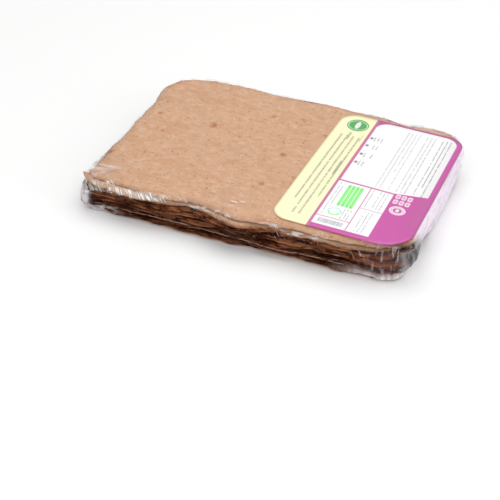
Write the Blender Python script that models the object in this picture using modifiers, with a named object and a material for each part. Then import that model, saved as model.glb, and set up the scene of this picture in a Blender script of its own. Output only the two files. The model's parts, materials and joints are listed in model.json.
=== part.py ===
"""Oat crispbread: a stack of thin wavy sheets between two printed cards, shrink-wrapped in clear film.

Metres, +Z up. X runs along the pack, Y towards its back, and the origin lies in the middle of the underside.
"""
import math
import random

import bmesh
import bpy
from mathutils import Vector

# Driving dimensions of the bread
SHEET_LENGTH = 0.275
SHEET_WIDTH = 0.202
SHEET_THICKNESS = 0.0026
SHEET_COUNT = 7
FRONT_LEFT_RADIUS = 0.010
FRONT_RIGHT_RADIUS = 0.024
BACK_RIGHT_RADIUS = 0.030
BACK_LEFT_RADIUS = 0.040

# Driving dimensions of the wrapping
PACK_HEIGHT = 0.034
FILM_THICKNESS = 0.0003
CARD_THICKNESS = 0.0004
LAYER_GAP = 0.0004
FILM_CLEARANCE = 0.0016

# Unevenness of the bread's outline: waves around the rim as (waves in one turn, reach)
RIM_WAVES = ((4, 0.0009), (7, 0.0007), (12, 0.0005), (17, 0.0003))
SHEET_SHIFT = 0.0011
SEED = 11

# The upper sheets bulge and draw in at the front, the second one has a lip, the top one two bites at the back
BULGE_X = -0.004
BULGE_REACHES = (0.0062, 0.0078, 0.0060)
BULGE_SPREAD = 0.016
NOTCH_X = -0.043
NOTCH_DEPTH = 0.0034
NOTCH_SPREAD = 0.011
LIP_X = -0.106
LIP_REACH = 0.0040
LIP_SPREAD = 0.036
BITE_X = 0.082
BITE_DEPTH = 0.0045
BITE_SPREAD = 0.010
CORNER_BITE_X = -0.113
CORNER_BITE_DEPTH = 0.0030
CORNER_BITE_SPREAD = 0.006

# The stack draws in around the front right corner, and its upper sheets less than the lower ones
CORNER_DRAW = 0.0125
CORNER_DRAW_LEAST = 0.28
CORNER_DRAW_POWER = 1.6
CORNER_DRAW_X = SHEET_LENGTH / 2
CORNER_DRAW_Y = -0.058
CORNER_DRAW_SPREAD = 0.044

# Warping of the sheets, strongest at their rims
WARP_HEIGHT = 0.0018
WARP_LENGTH_X = 0.092
WARP_LENGTH_Y = 0.076
WARP_SHARE_X = 0.65
WARP_PHASE_X = 2.2
WARP_PHASE_Y = 0.7
WARP_START = 0.55
WARP_TURN = 2.3
DROOP_DEPTH = 0.0016
DROOP_START = 0.955
DROOP_LEAST = 0.1
DROOP_PHASE = 0.9
SWELL_HEIGHT = 0.0004
SWELL_LENGTH_X = 0.190
SWELL_LENGTH_Y = 0.240
SWELL_PHASE = 0.6

# Card under the film on top: its corners, in its own axes, which are turned a little from the bread's
BACK_CARD_LEFT = 0.0237
BACK_CARD_RIGHT = 0.1338
BACK_CARD_FRONT = -0.0919
BACK_CARD_BACK = 0.0962
BACK_CARD_TURN = math.radians(-2.6)
BACK_CARD_RADII = (0.013, 0.028, 0.015, 0.016)

# Card on the underside, with a tab towards the front and a flap that covers the back edge of the stack
FRONT_CARD_LEFT = -0.111
FRONT_CARD_RIGHT = 0.1255
FRONT_CARD_FRONT = -0.061
FRONT_CARD_BACK = 0.0965
FRONT_CARD_RADII = (0.020, 0.032, 0.020, 0.020)
TAB_LEFT = -0.019
TAB_RIGHT = 0.040
TAB_FRONT = -0.080
TAB_RADIUS = 0.010
FLAP_LEFT = -0.081
FLAP_RIGHT = 0.091
FLAP_FACING = 0.9
FLAP_REACH = 0.0010
FLAP_FOLD = 0.0002
FLAP_BEND_Z = 0.0022
FLAP_TOP_Z = 0.0300

# How fast the film draws in between sheets, how far at its edges, and the vent in its underside
FILM_SLOPE = 0.7
FILM_EDGE_DRAW = 0.0015
FLAP_CLEARANCE = 0.0023
CARD_MARGIN = 0.0008
VENT_RADIUS = 0.003
VENT_PLACE = (0.070, -0.072)

# The underside's flat part as a share of the outline, further out at four corners, and how far its rim curls up
FLAT_SHARE = 0.76
FOOT_SHARE = 0.93
FOOT_X = 0.121
FOOT_Y = 0.090
RIM_RISE = 0.0003

# Gathered film at the front left corner; its level and height are shares of the side's height
EAR_REACH = 0.0055
EAR_SPREAD = 0.022
EAR_LEVEL = 0.30
EAR_HEIGHT = 0.40

# Mesh steps
RIM_POINTS = 84
CARD_POINTS = 48
ARC_STEPS = 5
OUTER_SHEET_RINGS = (DROOP_START, 0.65, 0.32)
INNER_SHEET_RINGS = (0.86, 0.45)
CARD_RINGS = (0.70, 0.36)

FRONT_CARD_Z = FILM_THICKNESS + RIM_RISE + LAYER_GAP + CARD_THICKNESS / 2
LOWEST_SHEET_Z = FRONT_CARD_Z + CARD_THICKNESS / 2 + 2 * LAYER_GAP + SHEET_THICKNESS / 2
FILM_TOP_Z = PACK_HEIGHT - SWELL_HEIGHT - FILM_THICKNESS
BACK_CARD_Z = FILM_TOP_Z - LAYER_GAP - CARD_THICKNESS / 2
TOP_SHEET_Z = BACK_CARD_Z - CARD_THICKNESS / 2 - LAYER_GAP - SHEET_THICKNESS / 2


def remove_objects():
    for thing in list(bpy.data.objects):
        bpy.data.objects.remove(thing, do_unlink=True)


def material(name, colour, roughness, alpha=1.0):
    made = bpy.data.materials.new(name)
    made.use_nodes = True
    shader = made.node_tree.nodes["Principled BSDF"]
    shader.inputs["Base Color"].default_value = (*colour, 1.0)
    shader.inputs["Roughness"].default_value = roughness
    shader.inputs["Metallic"].default_value = 0.0
    shader.inputs["Alpha"].default_value = alpha
    made.diffuse_color = (*colour, alpha)
    return made


def smooth_step(low, high, value):
    share = min(1.0, max(0.0, (value - low) / (high - low)))
    return share * share * (3 - 2 * share)


def bump(x, middle, spread):
    return math.exp(-(((x - middle) / spread) ** 2))


def rounded_rectangle(left, right, front, back, radii, steps):
    """Corners of a rectangle rounded by arcs, anticlockwise from the front left corner."""
    centres = (
        (left + radii[0], front + radii[0]),
        (right - radii[1], front + radii[1]),
        (right - radii[2], back - radii[2]),
        (left + radii[3], back - radii[3]),
    )
    points = []
    for corner, (centre, radius) in enumerate(zip(centres, radii)):
        for step in range(steps + 1):
            angle = math.pi * (1 + corner / 2 + step / (2 * steps))
            ray = Vector((math.cos(angle), math.sin(angle)))
            points.append(Vector(centre) + radius * ray)
    return points


def even_points(corners, count):
    """Points at equal steps along a closed outline, each with its outward normal."""
    sides = list(zip(corners, corners[1:] + corners[:1]))
    total = sum((end - start).length for start, end in sides)
    points, walked, side = [], 0.0, 0
    for index in range(count):
        target = total * index / count
        while walked + (sides[side][1] - sides[side][0]).length < target:
            walked += (sides[side][1] - sides[side][0]).length
            side += 1
        start, end = sides[side]
        along = (end - start).normalized()
        points.append((start + along * (target - walked), Vector((along.y, -along.x))))
    return points


def smoothed_normals(points):
    """Averages each normal with its neighbours', so that the rim's corners fan out evenly."""
    count = len(points)
    even = []
    for index, (place, normal) in enumerate(points):
        near = points[index - 1][1] + 2 * normal + points[(index + 1) % count][1]
        even.append((place, near.normalized()))
    return even


def in_flap(place, normal):
    return normal.y > FLAP_FACING and FLAP_LEFT <= place.x <= FLAP_RIGHT


def nearness(place, x, y, spread):
    """1 at a given place, falling off around it with the spread."""
    return bump((place - Vector((x, y))).length, 0.0, spread)


def rim_reaches(rim):
    """How far each sheet's rim stands out of the nominal outline at each of its points, lowest sheet first."""
    draw = random.Random(SEED)
    reaches = []
    for sheet in range(SHEET_COUNT):
        lowness = 1 - sheet / (SHEET_COUNT - 1)
        draw_in = CORNER_DRAW * max(CORNER_DRAW_LEAST, lowness**CORNER_DRAW_POWER)
        shift = Vector((draw.uniform(-1, 1), draw.uniform(-1, 1))) * SHEET_SHIFT
        phases = [draw.uniform(0, math.tau) for _ in RIM_WAVES]
        below_top = SHEET_COUNT - 1 - sheet
        reach = []
        for index, (place, normal) in enumerate(rim):
            turn = math.tau * index / len(rim)
            out = shift.dot(normal)
            for (waves, height), phase in zip(RIM_WAVES, phases):
                out += height * math.sin(waves * turn + phase)
            out -= draw_in * nearness(place, CORNER_DRAW_X, CORNER_DRAW_Y, CORNER_DRAW_SPREAD)
            front = max(0.0, -normal.y)
            back = max(0.0, normal.y)
            if below_top < len(BULGE_REACHES):
                out += BULGE_REACHES[below_top] * front * bump(place.x, BULGE_X, BULGE_SPREAD)
                out -= NOTCH_DEPTH * front * bump(place.x, NOTCH_X, NOTCH_SPREAD)
            if below_top == 1:
                out += LIP_REACH * front * bump(place.x, LIP_X, LIP_SPREAD)
            if below_top == 0:
                out -= BITE_DEPTH * back * bump(place.x, BITE_X, BITE_SPREAD)
                out -= CORNER_BITE_DEPTH * back * bump(place.x, CORNER_BITE_X, CORNER_BITE_SPREAD)
            reach.append(out)
        reaches.append(reach)
    for reach in reaches:
        for index, (place, normal) in enumerate(rim):
            if in_flap(place, normal):
                reach[index] = min(reach[index], reaches[-1][index])
    return reaches


def swell(x, y):
    """Slow rise and fall of the top face."""
    along = math.sin(math.tau * x / SWELL_LENGTH_X + SWELL_PHASE)
    return SWELL_HEIGHT * along * math.cos(math.tau * y / SWELL_LENGTH_Y)


def droop(x, y):
    """Share by which the rim of the top sheet bends down, at its front, back and left edges."""
    edge = max(abs(y) / (SHEET_WIDTH / 2), -x / (SHEET_LENGTH / 2))
    wave = math.sin(math.tau * (x / WARP_LENGTH_X + y / WARP_LENGTH_Y) + DROOP_PHASE)
    depth = DROOP_LEAST + (1 - DROOP_LEAST) * (1 + wave) / 2
    return min(1.0, max(0.0, (edge - DROOP_START) / (1 - DROOP_START))) * depth


def sheet_height(level, x, y):
    """Height of a sheet's middle; level runs from 0 at the lowest sheet to 1 at the top one."""
    edge = max(abs(x) / (SHEET_LENGTH / 2), abs(y) / (SHEET_WIDTH / 2))
    warp = WARP_SHARE_X * math.sin(math.tau * x / WARP_LENGTH_X + WARP_PHASE_X + WARP_TURN * level)
    warp += (1 - WARP_SHARE_X) * math.sin(math.tau * y / WARP_LENGTH_Y + WARP_PHASE_Y - WARP_TURN * level)
    height = LOWEST_SHEET_Z + level * (TOP_SHEET_Z - LOWEST_SHEET_Z)
    height += WARP_HEIGHT * math.sin(math.pi * level) * smooth_step(WARP_START, 1.0, edge) * warp
    height += level * swell(x, y)
    height -= level**3 * DROOP_DEPTH * droop(x, y)
    return height


def film_height(x, y):
    return sheet_height(1.0, x, y) + FILM_TOP_Z - TOP_SHEET_Z


def next_ring(bm, ring):
    """Extrudes a closed ring of vertices and returns the new ring in the same order."""
    edges = [bm.edges.get(pair) for pair in zip(ring, ring[1:] + ring[:1])]
    return matching(ring, bmesh.ops.extrude_edge_only(bm, edges=edges)["geom"])


def matching(ring, made):
    new = {piece for piece in made if isinstance(piece, bmesh.types.BMVert)}
    found = []
    for vert in ring:
        beside = [edge.other_vert(vert) for edge in vert.link_edges]
        found.append(next(other for other in beside if other in new))
    return found


def place_ring(ring, places):
    for vert, place in zip(ring, places):
        vert.co = place


def close_ring(bm, ring, height):
    """Fills a ring with a fan around one middle vertex."""
    edges = [bm.edges.get(pair) for pair in zip(ring, ring[1:] + ring[:1])]
    face = bmesh.ops.contextual_create(bm, geom=edges)["faces"]
    for vert in bmesh.ops.poke(bm, faces=face)["verts"]:
        vert.co.z = height(vert.co.x, vert.co.y)


def finish(bm, name, look, thickness, offset, collection):
    """Turns a surface into an object whose wall Solidify gives."""
    bmesh.ops.recalc_face_normals(bm, faces=bm.faces)
    mesh = bpy.data.meshes.new(name)
    bm.to_mesh(mesh)
    bm.free()
    thing = bpy.data.objects.new(name, mesh)
    thing.data.materials.append(look)
    collection.objects.link(thing)
    wall = thing.modifiers.new("Wall", "SOLIDIFY")
    wall.thickness = thickness
    wall.offset = offset
    wall.use_even_offset = offset == 0.0
    return thing


def lifted(points, height, beside=None):
    """Flat points at the height of a surface, taken where the points beside them are if those are given."""
    return [(point.x, point.y, height(near.x, near.y)) for point, near in zip(points, beside or points)]


def shrunk(points, shares):
    """Smaller copies of an outline around its middle."""
    middle = sum(points, Vector((0.0, 0.0))) / len(points)
    return [[middle + (point - middle) * share for point in points] for share in shares]


def wavy_surface(rings, height):
    """A surface through flat rings, the outline first, that takes its heights from a function."""
    bm = bmesh.new()
    ring = bmesh.ops.create_circle(bm, segments=len(rings[0]), radius=1.0)["verts"]
    place_ring(ring, lifted(rings[0], height))
    for points in rings[1:]:
        ring = next_ring(bm, ring)
        place_ring(ring, lifted(points, height))
    close_ring(bm, ring, height)
    return bm


def stood_out(rim, reach):
    return [place + normal * out for (place, normal), out in zip(rim, reach)]


def bread_sheets(rim, reaches, collection):
    look = material("baked_oat_bread", (0.73, 0.46, 0.30), 0.85)
    for sheet, reach in enumerate(reaches):
        level = sheet / (SHEET_COUNT - 1)
        shares = OUTER_SHEET_RINGS if sheet == SHEET_COUNT - 1 else INNER_SHEET_RINGS
        rings = [stood_out(rim, reach), *shrunk([place for place, _ in rim], shares)]
        bm = wavy_surface(rings, lambda x, y: sheet_height(level, x, y))
        finish(bm, f"bread_sheet_{sheet + 1}", look, SHEET_THICKNESS, 0.0, collection)


def back_card_outline():
    sides = (BACK_CARD_LEFT, BACK_CARD_RIGHT, BACK_CARD_FRONT, BACK_CARD_BACK)
    corners = rounded_rectangle(*sides, BACK_CARD_RADII, ARC_STEPS)
    cosine, sine = math.cos(BACK_CARD_TURN), math.sin(BACK_CARD_TURN)
    outline = []
    for point, _ in even_points(corners, CARD_POINTS):
        outline.append(Vector((point.x * cosine - point.y * sine, point.x * sine + point.y * cosine)))
    return outline


def back_card(outline, collection):
    look = material("printed_card_white", (0.95, 0.94, 0.93), 0.35)
    rise = BACK_CARD_Z - TOP_SHEET_Z
    rings = [outline, *shrunk(outline, CARD_RINGS)]
    bm = wavy_surface(rings, lambda x, y: sheet_height(1.0, x, y) + rise)
    return finish(bm, "back_card", look, CARD_THICKNESS, 0.0, collection)


def front_card(rim, outermost, collection):
    """A flat card with a tab, and a flap bent up from its back edge along the stack."""
    look = material("printed_card_magenta", (0.48, 0.06, 0.33), 0.35)
    sides = (FRONT_CARD_LEFT, FRONT_CARD_RIGHT, FRONT_CARD_FRONT, FRONT_CARD_BACK)
    panel = rounded_rectangle(*sides, FRONT_CARD_RADII, ARC_STEPS)
    tab_sides = (TAB_LEFT, TAB_RIGHT, TAB_FRONT, FRONT_CARD_FRONT)
    tab = rounded_rectangle(*tab_sides, (TAB_RADIUS, TAB_RADIUS, 0.0, 0.0), ARC_STEPS)
    corner = ARC_STEPS + 1
    stations = [(*station, out) for station, out in zip(rim, outermost) if in_flap(*station)]
    bend = [Vector((place.x, FRONT_CARD_BACK)) for place, _, _ in stations]
    tab_starts = [Vector((side, FRONT_CARD_FRONT)) for side in (TAB_LEFT, TAB_RIGHT)]
    tab_points = [tab_starts[0], *tab[: 2 * corner], tab_starts[1]]
    outline = panel[:corner] + tab_points + panel[corner : 3 * corner] + bend + panel[3 * corner :]
    bm = bmesh.new()
    ring = bmesh.ops.create_circle(bm, segments=len(outline), radius=1.0)["verts"]
    place_ring(ring, [(point.x, point.y, FRONT_CARD_Z) for point in outline])
    edges = [bm.edges.get(pair) for pair in zip(ring, ring[1:] + ring[:1])]
    bmesh.ops.contextual_create(bm, geom=edges)
    first = corner + len(tab_points) + 2 * corner
    row = ring[first : first + len(bend)]
    steps = ((FLAP_FOLD, FRONT_CARD_Z), (FLAP_REACH, FLAP_BEND_Z), (FLAP_REACH, 2 * FLAP_BEND_Z))
    for gap, height in (*steps, (FLAP_REACH, FLAP_TOP_Z / 2), (FLAP_REACH, FLAP_TOP_Z)):
        edges = [bm.edges.get(pair) for pair in zip(row, row[1:])]
        row = matching(row, bmesh.ops.extrude_edge_only(bm, edges=edges)["geom"])
        flat = [place + normal * (out + gap) for place, normal, out in stations]
        place_ring(row, [(point.x, point.y, height) for point in flat])
    return finish(bm, "front_card", look, CARD_THICKNESS, 0.0, collection)


def card_reach(card, place, normal):
    """How far the card on top stands out of the nominal outline beside a point of the rim."""
    along = Vector((-normal.y, normal.x))
    beside = 2 * (card[1] - card[0]).length
    near = [point - place for point in card if abs((point - place).dot(along)) < beside]
    return max((offset.dot(normal) for offset in near), default=-SHEET_WIDTH)


def film_reaches(rim, reaches, outermost, card):
    """The film's reach beside each sheet: it spans the gaps and draws in no faster than its slope."""
    spacing = (TOP_SHEET_Z - LOWEST_SHEET_Z) / (SHEET_COUNT - 1)
    held = [list(reach) for reach in reaches]
    for index, (place, normal) in enumerate(rim):
        held[-1][index] = max(held[-1][index], card_reach(card, place, normal) + CARD_MARGIN)
    film = []
    for sheet in range(SHEET_COUNT):
        ear = EAR_REACH * bump(sheet / (SHEET_COUNT - 1), EAR_LEVEL, EAR_HEIGHT)
        beside = []
        for index, (place, normal) in enumerate(rim):
            out = max(held[k][index] - FILM_SLOPE * spacing * abs(k - sheet) for k in range(SHEET_COUNT))
            out += FILM_CLEARANCE + ear * nearness(place, -SHEET_LENGTH / 2, -SHEET_WIDTH / 2, EAR_SPREAD)
            if in_flap(place, normal):
                out = outermost[index] + FLAP_CLEARANCE
            beside.append(out)
        film.append(beside)
    return film


def flat_outline(foot):
    """Outline of the underside's flat part, with the four corners on which the pack stands further out."""
    corners = [Vector((x, y)) for x in (-FOOT_X, FOOT_X) for y in (-FOOT_Y, FOOT_Y)]
    stood_on = [min(foot, key=lambda point: (point - corner).length) for corner in corners]
    inner, outer = shrunk(foot, (FLAT_SHARE, FOOT_SHARE))
    return [far if point in stood_on else near for point, near, far in zip(foot, inner, outer)]


def film_wrap(rim, reaches, film, collection):
    """The clear film as a thin shell from its vent, along the underside, up the sides and over the top."""
    look = material("clear_film", (0.93, 0.93, 0.95), 0.15, 0.25)
    bm = bmesh.new()
    ring = bmesh.ops.create_circle(bm, segments=RIM_POINTS, radius=1.0)["verts"]
    vent = Vector(VENT_PLACE)

    foot = stood_out(rim, [out - FILM_EDGE_DRAW for out in film[0]])
    flat = flat_outline(foot)
    hole = [vent + (point - vent).normalized() * VENT_RADIUS for point in flat]
    place_ring(ring, [(*point, FILM_THICKNESS) for point in hole])
    for points, height in ((flat, FILM_THICKNESS), (foot, FILM_THICKNESS + RIM_RISE)):
        ring = next_ring(bm, ring)
        place_ring(ring, [(*point, height) for point in points])
    for sheet, reach in enumerate(film):
        level = sheet / (SHEET_COUNT - 1)
        bread = stood_out(rim, reaches[sheet])
        ring = next_ring(bm, ring)
        place_ring(ring, lifted(stood_out(rim, reach), lambda x, y: sheet_height(level, x, y), bread))
    brow = stood_out(rim, [out - FILM_EDGE_DRAW for out in film[-1]])
    ring = next_ring(bm, ring)
    place_ring(ring, lifted(brow, film_height, bread))
    for points in shrunk([place for place, _ in rim], OUTER_SHEET_RINGS):
        ring = next_ring(bm, ring)
        place_ring(ring, lifted(points, film_height))
    close_ring(bm, ring, film_height)
    return finish(bm, "film_wrap", look, FILM_THICKNESS, 1.0, collection)


def main():
    remove_objects()
    collection = bpy.data.collections.new("oat_crispbread")
    bpy.context.scene.collection.children.link(collection)
    half_length, half_width = SHEET_LENGTH / 2, SHEET_WIDTH / 2
    radii = (FRONT_LEFT_RADIUS, FRONT_RIGHT_RADIUS, BACK_RIGHT_RADIUS, BACK_LEFT_RADIUS)
    corners = rounded_rectangle(-half_length, half_length, -half_width, half_width, radii, ARC_STEPS)
    rim = smoothed_normals(even_points(corners, RIM_POINTS))
    reaches = rim_reaches(rim)
    outermost = [max(reach[index] for reach in reaches) for index in range(RIM_POINTS)]
    bread_sheets(rim, reaches, collection)
    card = back_card_outline()
    back_card(card, collection)
    front_card(rim, outermost, collection)
    film = film_reaches(rim, reaches, outermost, card)
    film_wrap(rim, reaches, film, collection)


main()
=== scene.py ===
"""Dresses the pack of oat crispbread: craggy bread, printed cards, pleated film, floor, lights and camera.

Metres, +Z up. X runs along the pack and Y towards its back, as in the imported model.
"""

import json
import math
from types import SimpleNamespace

import bpy
import numpy as np
from bpy.props import FloatProperty, FloatVectorProperty, IntProperty, PointerProperty
from mathutils import Matrix, Vector, noise
from mathutils.bvhtree import BVHTree

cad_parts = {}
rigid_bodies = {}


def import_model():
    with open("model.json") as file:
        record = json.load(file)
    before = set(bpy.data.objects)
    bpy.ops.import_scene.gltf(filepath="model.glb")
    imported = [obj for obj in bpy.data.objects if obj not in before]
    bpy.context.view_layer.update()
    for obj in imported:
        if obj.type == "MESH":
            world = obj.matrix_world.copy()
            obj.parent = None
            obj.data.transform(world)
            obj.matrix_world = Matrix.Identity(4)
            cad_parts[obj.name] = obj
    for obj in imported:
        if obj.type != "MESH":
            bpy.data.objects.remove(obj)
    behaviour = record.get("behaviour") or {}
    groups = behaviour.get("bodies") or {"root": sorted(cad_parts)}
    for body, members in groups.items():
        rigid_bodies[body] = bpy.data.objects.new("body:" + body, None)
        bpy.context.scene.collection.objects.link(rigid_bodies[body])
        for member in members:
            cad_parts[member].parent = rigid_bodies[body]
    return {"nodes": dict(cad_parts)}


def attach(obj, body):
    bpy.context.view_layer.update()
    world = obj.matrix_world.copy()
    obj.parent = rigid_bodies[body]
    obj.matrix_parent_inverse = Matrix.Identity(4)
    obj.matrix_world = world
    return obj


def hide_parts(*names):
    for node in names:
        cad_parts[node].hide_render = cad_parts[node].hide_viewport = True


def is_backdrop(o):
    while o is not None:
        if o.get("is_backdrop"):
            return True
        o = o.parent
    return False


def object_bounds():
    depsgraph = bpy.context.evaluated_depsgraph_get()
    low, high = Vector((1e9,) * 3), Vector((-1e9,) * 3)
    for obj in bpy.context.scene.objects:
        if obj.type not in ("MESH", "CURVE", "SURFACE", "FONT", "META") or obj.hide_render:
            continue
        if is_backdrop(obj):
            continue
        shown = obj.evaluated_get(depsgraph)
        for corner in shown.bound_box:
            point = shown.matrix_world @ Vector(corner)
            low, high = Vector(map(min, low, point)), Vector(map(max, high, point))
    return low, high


bl_info = {
    "name": "Oat crispbread",
    "version": (1, 0, 0),
    "blender": (4, 5, 0),
    "location": "3D View > Sidebar > Crispbread",
    "description": "Builds a shrink-wrapped pack of oat crispbread around its packed model",
    "category": "Object",
}

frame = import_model()
CAD_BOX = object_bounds()

MM = 0.001
SHEETS = sorted(name for name in frame["nodes"] if name.startswith("bread_sheet"))
TOP_SHEET = SHEETS[-1]
SECOND_SHEET = SHEETS[-2]
PACK_TOP = CAD_BOX[1][2]


def colour(red, green, blue):
    """A linear colour from the 0 to 255 values of a colour picker."""
    linear = []
    for value in (red, green, blue):
        share = value / 255
        linear.append(share / 12.92 if share <= 0.04045 else ((share + 0.055) / 1.055) ** 2.4)
    return tuple(linear)


def length_value(description, default):
    return FloatProperty(description=description, default=default, unit="LENGTH", precision=5)


def angle_value(description, degrees):
    return FloatProperty(description=description, default=math.radians(degrees), subtype="ANGLE")


def rim_steps_value(default):
    return IntProperty(description="Fine points for each point of the solid's rim", default=default)


def tint_value(description, default):
    """A colour setting, given by its linear values."""
    return FloatVectorProperty(description=description, default=default, subtype="COLOR", min=0, max=1)


def colour_value(description, *picked):
    """A colour setting, given by 0 to 255 values."""
    return tint_value(description, colour(*picked))


class BreadSettings(bpy.types.PropertyGroup):
    """Sizes and colours of the bread sheets."""

    rim_steps: rim_steps_value(12)
    slope_depth: length_value("Width of the slope where a sheet thins towards its rim", 0.0085)
    lip_thickness: length_value("Thickness of a sheet's broken rim", 0.0008)
    droop: length_value("Droop of the top sheet's rim", 0.0022)
    wave_height: length_value("Height of the rims' waves", 0.001)
    sway_depth: length_value("Depth of the rims' long waves inwards and outwards", 0.0038)
    tear_depth: length_value("Depth of the rims' tears", 0.0012)
    crust: colour_value("Main colour of the baked face", 208, 168, 138)
    pale: colour_value("Slightly paler patches", 222, 184, 154)
    warm: colour_value("Slightly browner patches", 202, 150, 112)
    rosy: colour_value("Slightly pinker patches", 220, 172, 142)
    # Painted shade: baked is laid over the lower sheets by height
    baked: colour_value("Colour of the lower sheets' slopes", 150, 86, 50)
    crumb: colour_value("Lighter crumb that shows on some broken rims", 192, 130, 90)
    # Toasted brown beside the rims, also used as painted shade lower in the stack and at the front right
    # corner
    toast: colour_value("Colour of the slopes beside the broken rims", 116, 52, 24)
    # Also used as painted shade in the crevices, on the lower faces, lower in the stack and at its foot
    dark: colour_value("Deepest brown of the broken rims", 46, 16, 6)
    speck: colour_value("Small dark bran specks", 104, 86, 72)
    spot: colour_value("Larger baked spots", 178, 114, 82)


class CardSettings(bpy.types.PropertyGroup):
    """Colours of the two printed cards."""

    white: colour_value("Bare white card", 254, 253, 254)
    yellow: colour_value("Pale yellow field", 255, 252, 207)
    magenta: colour_value("Border and corner field of the top card", 206, 89, 169)
    rose: colour_value("Thin lines between the panels", 205, 120, 163)
    green: colour_value("Bars of the small table", 146, 247, 136)
    leaf: colour_value("Plain oval badge", 86, 178, 92)
    sky: colour_value("Half of the small ring", 170, 232, 240)
    ink: colour_value("Text-like lines", 108, 112, 116)
    red_ink: colour_value("A few text-like lines in red", 214, 128, 136)
    purple: colour_value("Header of the lower card", 168, 14, 124)
    plum: colour_value("Dark lower part of the flap", 112, 4, 82)


class FilmSettings(bpy.types.PropertyGroup):
    """Sizes and colours of the clear film."""

    rim_steps: rim_steps_value(8)
    thickness: length_value("Thickness of the film's wall", 0.0001)
    clearance: length_value("Gap between the film and the widest sheets", 0.0004)
    pleat_depth: length_value("Depth of the pleats on the sides", 0.0005)
    seam_level: FloatProperty(description="Weld seam's share of the side's height", default=0.285)
    seam_reach: length_value("Reach of the weld seam", 0.0007)
    # Colour of bunched, milky film, also of the painted highlights on it
    haze: colour_value("Colour of bunched, milky film", 244, 238, 240)
    glint: colour_value("Warm white of the streaks over the front's slopes", 255, 248, 242)
    # Tint of the painted glare at the right end and over the card
    lilac: colour_value("Tint of the milky right end", 252, 238, 255)
    shade: colour_value("Grey of the pleats in the milky film", 172, 164, 190)
    # A painted shadow: the bread's front right corner lies in shade behind the film
    smoke: colour_value("Dark patch in the film at the front right corner", 58, 54, 60)
    seam_tint: colour_value("Colour of the weld seam over the bread", 226, 176, 158)


class StageSettings(bpy.types.PropertyGroup):
    """Camera, lights and floor."""

    camera_place: FloatVectorProperty(description="Camera's place", default=(0.2392, -0.8431, 0.5442))
    azimuth: angle_value("Camera's turn around the pack", 17.25)
    elevation: angle_value("Camera's angle above the floor", 34.97)
    roll: angle_value("Camera's tilt", 4.46)
    lens: FloatProperty(description="Focal length in millimetres", default=86.4)
    floor: tint_value("Plain pale floor", (0.97, 0.97, 0.97))
    floor_shade: tint_value("Faint shade in the floor", (0.88, 0.88, 0.89))
    floor_size: length_value("Side of the floor", 8.0)


def math_node(operation, swapped=False):
    """A method that adds a Math node for one or two values."""

    def method(self, other=0.0):
        first, second = (other, self) if swapped else (self, other)
        return self.paint.node("Math", {0: first, 1: second}, operation=operation)

    return method


class Value:
    """A material's socket that works in expressions: each operator adds its Math node."""

    def __init__(self, paint, socket):
        self.paint = paint
        self.socket = socket

    __add__ = math_node("ADD")
    __radd__ = math_node("ADD", swapped=True)
    __sub__ = math_node("SUBTRACT")
    __rsub__ = math_node("SUBTRACT", swapped=True)
    __mul__ = math_node("MULTIPLY")
    __rmul__ = math_node("MULTIPLY", swapped=True)
    __truediv__ = math_node("DIVIDE")
    __abs__ = math_node("ABSOLUTE")
    power = math_node("POWER")
    larger = math_node("MAXIMUM")
    root = math_node("SQRT")
    whole = math_node("FLOOR")
    rest = math_node("FRACT")


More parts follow.
